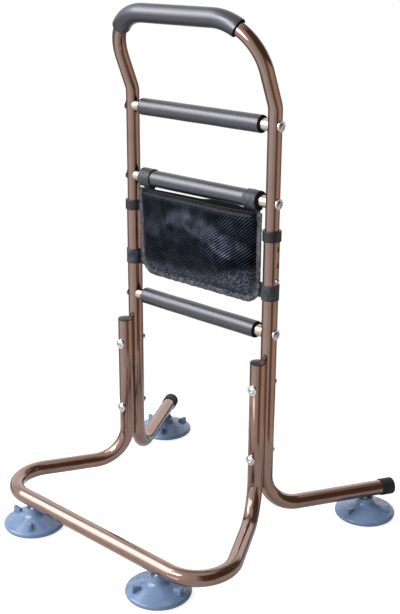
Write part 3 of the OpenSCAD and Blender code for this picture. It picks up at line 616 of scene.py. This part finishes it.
def pouch_half(z):
    """Half width of the pouch at a height above its lower edge, in mm."""
    if z >= POUCH_CORNER:
        return POUCH_HALF
    return POUCH_HALF - POUCH_CORNER + math.sqrt(max(POUCH_CORNER ** 2 - (POUCH_CORNER - z) ** 2, 0))


def gathering(u, t):
    """Share by which the cloth is gathered, at a share across and up."""
    reach = 0.13 + 0.21 * max(u, 0) ** 1.2
    return math.exp(-(max(t - reach, 0) / 0.06) ** 2)


def eased(share):
    """A share from 0 to 1 that starts and stops gently."""
    share = min(max(share, 0), 1)
    return share * share * (3 - 2 * share)


def belly(u, t):
    """How far the cloth stands forward, in mm, at a share across and up."""
    crown = max(1 - u ** 4, 0) ** 0.7
    slump, swell = eased((-u - 0.35) / 0.25), eased((u - 0.05) / 0.4)
    crest = 0.66 - 0.25 * max(u + 0.05, 0) ** 0.9 - 0.2 * slump - 0.05 * eased((u - 0.35) / 0.25)
    above = t - crest
    if above < 0:
        profile = max(math.cos(math.pi / 2 * above / crest), 0) ** 0.8
    else:
        profile = 0.3 + 0.12 * t + (0.7 - 0.12 * t) * math.exp(-(above / (0.14 + 0.05 * swell)) ** 2)
    crease = CREASE * math.exp(-((u + 0.47 + 0.06 * t) / 0.04) ** 2) * math.sin(math.pi * min(t * 0.85, 1))
    pucker = PUCKER * gathering(u, t) * crown * noise.noise(Vector((u * 19, t * 20, 1.7)))
    ripple = RIPPLE * noise.noise(Vector((u * 3.3, t * 2.6, 0.4))) * crown
    return max((BELLY + SWELL * swell) * crown * profile - crease + pucker + ripple, 0)


def front_point(u, t, proud=0.0):
    """Point of the front panel: u from -1 to 1 across, t from 0 to 1 up."""
    z = FOOT_MARGIN + t * (POUCH_H - FOOT_MARGIN)
    half = pouch_half(z) - SIDE_MARGIN
    rise = MOUTH_RISE * (1 - u * u) * max(t - 0.6, 0) / 0.4
    inner = max(-1, min(1, u * half / max(half - BOUND, 1)))
    lift = max((t * POUCH_H - BOUND) / (POUCH_H - BOUND), 0)
    return Vector((drawn_in(u * half, z), SEAM_Y - belly(inner, lift) - proud, POUCH_LOW + z + rise)) * MM


print("belly in the middle:", round(belly(0, 0.5), 1), "mm")

# %% Front panel
FRONT_THICK, BACK_THICK, HEM_THICK = 0.9, 1.2, 2.0


def laid_sheet(columns, rows, point, thick):
    """A grid laid point by point on a form, then given its thickness; it keeps where it is gathered."""
    bm = bmesh.new()
    bmesh.ops.create_grid(bm, x_segments=columns, y_segments=rows, size=1)
    gathered = bm.verts.layers.float.new("gathered")
    for vert in bm.verts:
        t = (vert.co.y + 1) / 2
        vert[gathered] = gathering(vert.co.x, t)
        vert.co = point(vert.co.x, t)
    bmesh.ops.recalc_face_normals(bm, faces=bm.faces)
    bmesh.ops.solidify(bm, geom=bm.faces[:], thickness=thick * MM)
    return bm


bm = laid_sheet(150, 70, front_point, FRONT_THICK)
pouch_mesh = make_piece("pouch_mesh", bm, mesh_cloth, "upper_frame", ["pouch_front"])

# %% [markdown]
# ## Back panel and mouth hem
# The back panel is a plain woven sheet that hangs straight from the straps. Its mouth rises a little, and right
# of the middle it is pulled up further and forward. The mouth of the front panel is finished with a folded
# tape: a narrow band of the same form, a little proud of the cloth.

# %% Back panel and hem
BACK_Y, BACK_WAVE = 37.4, 0.25
PULL_RISE, PULL_LEAN, SLACK_RISE = 7.0, 6.4, 2.2  # at the mouth, in mm
HEM_SHARE, HEM_FROM, HEM_TALL, HEM_PROUD = 0.985, 0.905, 0.1, 0.5


def back_point(u, t):
    """Point of the back panel, in the same shares as the front."""
    z = t * POUCH_H
    half = pouch_half(max(z, 1)) - SIDE_MARGIN
    wave = BACK_WAVE * noise.noise(Vector((u * 4, t * 3, 7.7)))
    pulled = math.exp(-((u - 0.46) / 0.33) ** 4)
    mouth = max(t - 0.8, 0) / 0.2
    rise = PULL_RISE * pulled * mouth + SLACK_RISE * mouth * (1 - pulled) * (1 - u * u)
    lean = PULL_LEAN * pulled * mouth ** 1.5
    return Vector((drawn_in(u * half, z), BACK_Y + wave - lean, POUCH_LOW + z + rise)) * MM


def hem_point(u, t):
    """Point of the hem, which is fullest along its middle."""
    return front_point(u * HEM_SHARE, HEM_FROM + HEM_TALL * t, HEM_PROUD + HEM_PROUD * math.sin(math.pi * t))


bm = laid_sheet(80, 40, back_point, BACK_THICK)
pouch_panel = make_piece("pouch_panel", bm, back_cloth, "upper_frame", ["pouch_back"])
bm = laid_sheet(120, 6, hem_point, HEM_THICK)
pouch_hem = make_piece("pouch_hem", bm, hem_tape, "upper_frame", sharp=60)

# %% [markdown]
# ## Binding round the pouch
# A tape folded over the raw edges of both panels runs down one side, round the corners, along the bottom and
# up the other side. Flat ovals set square to that line and bridged give the soft folded edge.

# %% Line of the binding
def bound_edge(inset, step):
    """Places (x, z, turn) along the bound edge from the top left to the top right, inset from it, in mm."""
    r, corner = POUCH_CORNER - inset, POUCH_HALF - POUCH_CORNER
    straight = POUCH_H - POUCH_CORNER
    downs, turns, levels = round(straight / step), max(round(r * 1.57 / step), 4), round(corner / step)
    left = [(inset - POUCH_HALF, POUCH_H - straight * k / downs, 0.0) for k in range(downs)]
    for k in range(turns):
        a = math.pi / 2 * k / turns
        left.append((-corner - r * math.cos(a), POUCH_CORNER - r * math.sin(a), a))
    left += [(-corner + corner * k / levels, inset, math.pi / 2) for k in range(levels)]
    return left + [(0.0, inset, math.pi / 2)] + [(-x, z, math.pi - a) for x, z, a in reversed(left)]


edge_line = bound_edge(3.3, 4.0)
print("binding line:", len(edge_line), "places")

# %% Binding
TAPE_HALF, TAPE_THICK, TAPE_THINNER = 4.5, 2.1, 0.5  # half sizes of the oval, thinner along the bottom, in mm
TAPE_Y, TAPE_SIDES = SEAM_Y + 0.05, 20

bm = bmesh.new()
loops = []
for count, (x, z, a) in enumerate(edge_line):
    heading = Vector((math.sin(a), 0, -math.cos(a)))
    inward = Vector((math.cos(a), 0, math.sin(a)))
    wobble = 1 + (0.12 + 0.12 * math.sin(a)) * noise.noise(Vector((count * 0.7, 0, 3.3)))
    oval = Matrix.Diagonal((TAPE_HALF * wobble, (TAPE_THICK - TAPE_THINNER * math.sin(a)) * wobble, 1, 1))
    centre = Vector((drawn_in(x, z), TAPE_Y, POUCH_LOW + z)) * MM
    place = Matrix.Translation(centre) @ axes(inward, Vector((0, 1, 0)), heading) @ oval
    verts = bmesh.ops.create_circle(bm, cap_ends=False, segments=TAPE_SIDES, radius=MM, matrix=place)["verts"]
    loops.append(list({edge for vert in verts for edge in vert.link_edges}))
for near, far in zip(loops, loops[1:]):
    bmesh.ops.bridge_loops(bm, edges=near + far)
bmesh.ops.holes_fill(bm, edges=[edge for edge in bm.edges if edge.is_boundary], sides=0)
bmesh.ops.recalc_face_normals(bm, faces=bm.faces)
pouch_edge = make_piece("pouch_edge", bm, binding_tape, "upper_frame", ["pouch_binding"], 50)

# %% [markdown]
# ## Stitches
# One row of lockstitch holds the binding and shows on both sides, and two hold the hem. Each stitch is a small
# stretched bead with few faces, because there are hundreds, sunk a little into the tape.

# %% Stitches
BEAD = Matrix.Diagonal((1.25, 0.34, 0.34, 1))
SEAM_INSET, STITCH_PITCH = 5.2, 3.4
FRONT_ROW_Y, REAR_ROW_Y, HEM_ROW_OUT = SEAM_Y - 1.9, SEAM_Y + 2.0, 1.05
HEM_ROWS, HEM_STITCHES, HEM_REACH = (0.15, 0.85), 74, 0.965


def sew(bm, spot, heading, outward):
    """One stitch at a place, lying along the seam."""
    bead = Matrix.Translation(spot) @ axes(heading, outward, heading.cross(outward)) @ BEAD
    bmesh.ops.create_icosphere(bm, subdivisions=1, radius=MM, matrix=bead)


bm = bmesh.new()
front, rear = Vector((0, -1, 0)), Vector((0, 1, 0))
for x, z, a in bound_edge(SEAM_INSET, STITCH_PITCH):
    heading = Vector((math.sin(a), 0, -math.cos(a)))
    for outward, y in ((front, FRONT_ROW_Y), (rear, REAR_ROW_Y)):
        sew(bm, Vector((drawn_in(x, z), y, POUCH_LOW + z)) * MM, heading, outward)
for level in HEM_ROWS:
    for k in range(HEM_STITCHES):
        u = -HEM_REACH + 2 * HEM_REACH * k / (HEM_STITCHES - 1)
        here, there = hem_point(u, level), hem_point(u + 0.01, level)
        sew(bm, here + front * HEM_ROW_OUT * MM, (there - here).normalized(), front)
pouch_stitches = make_piece("pouch_stitches", bm, stitch_thread, "upper_frame", sharp=80)

# %% Cloth of the pouch
print("front and back panel are thin solid sheets")

# %% [markdown]
# ## Straps
# Four short webbing straps carry the pouch: two loop over the middle crossbar's sleeve, two go round the posts.
# A strap is a strip that follows a line: from the sewn tail, once round, and back to itself. The line is
# drawn as a wire, extruded across its width, made a little wavy and given its thickness.

# %% Strap from its line
STRIPS, WEBBING, WEBBING_ROUND = 5, 1.5, 0.35
WAVY, WAVY_PER_M = 0.5, 130  # depth in mm, and blobs per metre
ROUND_STEPS = 48
noise.seed_set(7)  # noise_vector starts from the clock without one


def strap(name, line, across, node):
    """A strip of webbing: a wire extruded over its width, solidified, its edges rounded."""
    bm = bmesh.new()
    wire = [bm.verts.new(spot) for spot in line]
    edges = [bm.edges.new(pair) for pair in zip(wire, wire[1:])]
    for _ in range(STRIPS):
        strip = bmesh.ops.extrude_edge_only(bm, edges=edges)["geom"]
        edges = [part for part in strip if isinstance(part, bmesh.types.BMEdge)]
        verts = [part for part in strip if isinstance(part, bmesh.types.BMVert)]
        bmesh.ops.translate(bm, vec=across / STRIPS, verts=verts)
    bmesh.ops.recalc_face_normals(bm, faces=bm.faces)
    for vert in bm.verts:
        vert.co += WAVY * MM * noise.noise_vector(vert.co * WAVY_PER_M)
    bmesh.ops.solidify(bm, geom=bm.faces[:], thickness=WEBBING * MM)
    bmesh.ops.recalc_face_normals(bm, faces=bm.faces)
    rims = [edge for edge in bm.edges if len(edge.link_faces) == 2 and edge.calc_face_angle(0) > 1.0]
    bmesh.ops.bevel(bm, geom=rims, offset=WEBBING_ROUND * MM, offset_type="OFFSET", affect="EDGES",
                    segments=2, profile=0.5, material=-1)
    piece = make_piece(name, bm, strap_webbing, "upper_frame", [node], 50)


# %% Straps over the crossbar
BAR_Z, BAR_TAIL_Y, BAR_TAIL = 562.0, 40.3, (529, 533, 537, 541)
BAR_START, BAR_TURN, BAR_ROUND_R, BAR_LAP = -100, 368, 15.0, 1.0


def bar_loop(name, node):
    """Strap up from its tail and once round the sleeve, lapping onto itself."""
    low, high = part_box(node)
    line = [Vector((low.x / MM, BAR_TAIL_Y, z)) for z in BAR_TAIL]
    for k in range(ROUND_STEPS + 1):
        a = math.radians(BAR_START - BAR_TURN * k / ROUND_STEPS)
        r = BAR_ROUND_R + BAR_LAP * k / ROUND_STEPS
        line.append(Vector((low.x / MM, POST_Y - r * math.cos(a), BAR_Z + r * math.sin(a))))
    strap(name, [spot * MM for spot in line], Vector((high.x - low.x, 0, 0)), node)


bar_loop("left_loop", "left_bar_strap")
bar_loop("right_loop", "right_bar_strap")

# %% Straps round the posts
POST_TAIL_Y, POST_TAIL = 40.6, (110, 116, 122, 128, 133)
POST_START, POST_TURN, POST_ROUND_R, POST_LAP = -8, 356, 13.7, 0.8


def post_loop(name, side, node):
    """Strap from the pouch's corner and once round the post."""
    low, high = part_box(node)
    line = [Vector((side * x, POST_TAIL_Y, low.z / MM)) for x in POST_TAIL]
    for k in range(ROUND_STEPS + 1):
        a = math.radians(POST_START - POST_TURN * k / ROUND_STEPS)
        r = POST_ROUND_R + POST_LAP * k / ROUND_STEPS
        line.append(Vector((side * POST_X - side * r * math.cos(a), POST_Y - r * math.sin(a), low.z / MM)))
    strap(name, [spot * MM for spot in line], Vector((0, 0, high.z - low.z)), node)


post_loop("left_wrap", -1, "left_post_strap")
post_loop("right_wrap", 1, "right_post_strap")

# %% [markdown]
# ## Floor
# The photograph is a cut-out on white. The floor is a pale disc: partly its own white for the camera and, much
# weaker, for reflections, and partly lit paper, so that the soft shadow under the cups stays.

# %% Floor
FLOOR_R, FLOOR_DROP = 0.5, 0.0004
PAPER, WHITE_SEEN, WHITE_MIRRORED = 0.6, 0.76, 0.03


def grey(level):
    """Neutral colour of a brightness."""
    return (level, level, level, 1)


def rays(tree):
    """Two outputs: is it a ray from the camera, and is it one that came off something shiny or clear."""
    path = add(tree, "ShaderNodeLightPath").outputs
    return path["Is Camera Ray"], join(tree, "MAXIMUM", path["Is Glossy Ray"], path["Is Transmission Ray"])


bm = bmesh.new()
bmesh.ops.create_circle(bm, cap_ends=True, segments=96, radius=FLOOR_R)
floor_mesh = bpy.data.meshes.new("floor")
bm.to_mesh(floor_mesh)
bm.free()
floor = bpy.data.objects.new("floor", floor_mesh)
floor.location.z = -FLOOR_DROP
bpy.context.collection.objects.link(floor)
pale_floor = bpy.data.materials.new("pale_floor")
pale_floor.use_nodes = True
tree = pale_floor.node_tree
tree.nodes.clear()
seen, mirrored = rays(tree)
own_white = join(tree, "ADD", join(tree, "MULTIPLY", seen, WHITE_SEEN),
                 join(tree, "MULTIPLY", mirrored, WHITE_MIRRORED))
paper = add(tree, "ShaderNodeBsdfDiffuse", {"Color": grey(PAPER)}).outputs[0]
glow = add(tree, "ShaderNodeEmission", {"Color": grey(1), "Strength": own_white}).outputs[0]
both = add(tree, "ShaderNodeAddShader", {0: paper, 1: glow}).outputs[0]
add(tree, "ShaderNodeOutputMaterial", {"Surface": both})
floor_mesh.materials.append(pale_floor)
print("floor: disc of", FLOOR_R, "m radius")

# %% [markdown]
# ## World
# Past the floor the world is white for the camera. A polished tube sees a studio instead: walls that change
# in brightness and warmth all the way round, one set below the horizon and one above it, bright on the left
# and with dark gaps right of the camera, a pale ceiling, and the white backdrop behind. Cloth and other dull
# surfaces get the same walls without their colour.

# %% World
world = bpy.data.worlds.new("studio")
bpy.context.scene.world = world
world.use_nodes = True
tree = world.node_tree
tree.nodes.clear()
ray = add(tree, "ShaderNodeTexCoord").outputs["Generated"]


def along(direction):
    """How far a ray goes along a direction."""
    return add(tree, "ShaderNodeVectorMath", {0: ray, 1: direction}, operation="DOT_PRODUCT").outputs["Value"]


def fade(value, start, end):
    """A share that goes from 0 to 1 between two values."""
    return between(tree, value, 0.0, 1.0, start, end)


def wall(place, level, warmth=0.0):
    """A stop of the studio wall: its bearing, its brightness, and how warm or cool it is."""
    return place, (level, level * (1 - 0.3 * warmth), level * (1 - 0.5 * warmth), 1)


camera_side = Vector((math.sin(turn), -math.cos(turn), 0))
bearing = join(tree, "ARCTAN2", along(level_right), along(camera_side))
around = fade(bearing, -math.pi, math.pi)
low_walls = tint(tree, around, wall(0.0, 0.15), wall(0.14, 0.13), wall(0.20, 0.45), wall(0.25, 0.9, -0.2),
                 wall(0.38, 0.85, -0.2), wall(0.44, 0.66, -0.15), wall(0.52, 0.62), wall(0.56, 0.16, 0.6),
                 wall(0.60, 0.2, 0.7), wall(0.66, 0.75, 0.7), wall(0.74, 0.75, 0.7), wall(0.80, 0.5, 0.7),
                 wall(0.86, 0.16, 0.7), wall(0.93, 0.1), wall(1.0, 0.15))
high_walls = tint(tree, around, wall(0.0, 0.5), wall(0.08, 0.6), wall(0.20, 0.9), wall(0.30, 1.0),
                  wall(0.42, 0.8), wall(0.49, 0.65), wall(0.54, 0.16, 1.1), wall(0.60, 0.13, 1.2),
                  wall(0.71, 0.12, 1.1), wall(0.76, 0.12, 0.2), wall(0.895, 0.12), wall(0.93, 0.9),
                  wall(1.0, 0.6))
level = along((0, 0, 1))
walls = blend(tree, fade(level, -0.08, 0.08), low_walls, high_walls)
studio = blend(tree, fade(level, 0.86, 0.97), walls, grey(0.7))

# %% What each ray sees
seen, mirrored = rays(tree)
high_paper = join(tree, "MULTIPLY", fade(along(-camera_side), 0.5, 0.72), fade(level, 0.0, 0.15))
behind = join(tree, "MAXIMUM", high_paper, fade(along(-back), 0.93, 0.98))
white = join(tree, "MAXIMUM", seen, join(tree, "MULTIPLY", mirrored, behind))
neutral = add(tree, "ShaderNodeRGBToBW", {"Color": studio}).outputs[0]
shown = blend(tree, white, blend(tree, mirrored, neutral, studio), grey(1.0))
backdrop = add(tree, "ShaderNodeBackground", {"Color": shown, "Strength": 1.0}).outputs[0]
add(tree, "ShaderNodeOutputWorld", {"Surface": backdrop})
print("world: studio walls round a white backdrop")

# %% [markdown]
# ## Lamps
# Soft light comes from the left and the front: a wide softbox with a brighter core on the left, and one high in
# front. Two small strips light no dull surface and only show in reflections, where they draw bright lines on
# the tubes.

# %% Lamps
AIM = Vector((0, 0, 0.55))
WIDE_SPREAD, STRIP_SPREAD = math.radians(180), math.radians(64)


def softbox(name, towards, distance, upright, wide, tall, watts, aim=AIM, strip=False):
    """A flat lamp that looks at a place; upright is its tall side, and a strip only shows in reflections."""
    towards, upright = towards.normalized(), upright.normalized()
    data = bpy.data.lights.new(name, "AREA")
    data.shape, data.size, data.size_y, data.energy = "RECTANGLE", wide, tall, watts
    data.spread = STRIP_SPREAD if strip else WIDE_SPREAD
    lamp = bpy.data.objects.new(name, data)
    turned = axes(upright.cross(towards), upright, towards)
    lamp.matrix_world = Matrix.Translation(aim + towards * distance) @ turned
    lamp.visible_camera, lamp.visible_diffuse = False, not strip
    bpy.context.collection.objects.link(lamp)
    print(name, [round(v, 2) for v in lamp.matrix_world.translation], watts, "W")


towards_left, over_the_front = Vector((-0.637, -0.545, 0.545)), Vector((0, 1, 1))
plumb = Vector((0, 0, 1))
softbox("wide_softbox", towards_left, 2.6, over_the_front, 1.3, 3.0, 26)
softbox("core_softbox", towards_left, 2.5, over_the_front, 1.2, 1.1, 14)
softbox("front_softbox", Vector((-0.19, -0.81, 0.56)), 2.6, Vector((0, 0.56, 0.81)), 1.1, 0.8, 28)
softbox("low_strip", Vector((-0.171, -0.985, 0)), 0.58, plumb, 0.3, 0.16, 0.16,
        Vector((0.15, 0.016, -0.08)), True)
softbox("high_strip", Vector((-0.03, -1, 0)), 1.0, plumb, 0.4, 0.5, 0.9, Vector((0.14, 0, 0.9)), True)

# %% [markdown]
# ## Colours
# The colours are shown as they are, without a film look.

# %% Finish
bpy.context.scene.view_settings.view_transform = "Standard"
